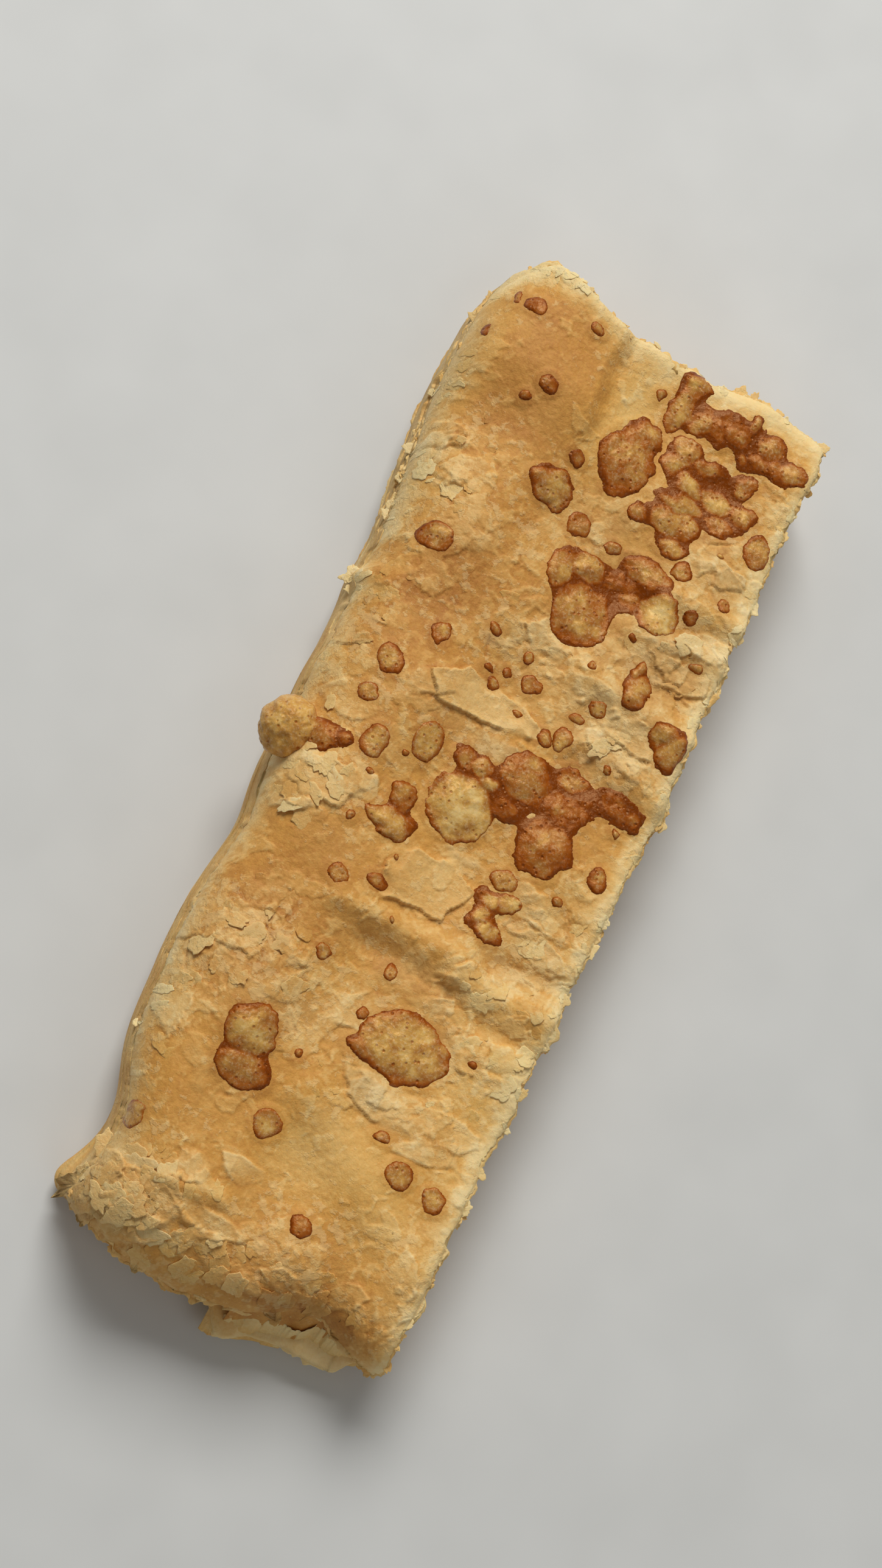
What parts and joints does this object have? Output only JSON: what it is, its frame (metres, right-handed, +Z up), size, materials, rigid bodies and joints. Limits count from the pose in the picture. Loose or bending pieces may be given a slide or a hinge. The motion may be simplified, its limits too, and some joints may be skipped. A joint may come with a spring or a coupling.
{
  "type": "cheese puff pastry",
  "caption": "Baked folded strip of flaky layered pastry with melted cheese blistered over its crust, lying flat on its base.",
  "frame": {"origin": "centre of the bounding box at the flat underside", "axes": "+Y along the strip from the torn near end to the far end, +X from the folded edge to the cut edge, +Z up"},
  "size_m": [0.058, 0.1544, 0.0233],
  "materials": {
    "crust": "dry golden baked crust, matte and flaky",
    "cheese": "melted and browned cheese, semi-gloss"
  },
  "bodies": {
    "root": {"pastry": "crust", "cheese_far_cluster": "cheese", "cheese_far_domes": "cheese", "cheese_far_round": "cheese", "cheese_teardrop": "cheese", "cheese_twin": "cheese", "cheese_ridge_drop": "cheese", "cheese_right_edge": "cheese", "cheese_middle": "cheese", "cheese_side_drop": "cheese", "cheese_hook": "cheese", "cheese_oval": "cheese", "cheese_near_left": "cheese", "cheese_left_blister": "cheese"}
  },
  "joints": []
}
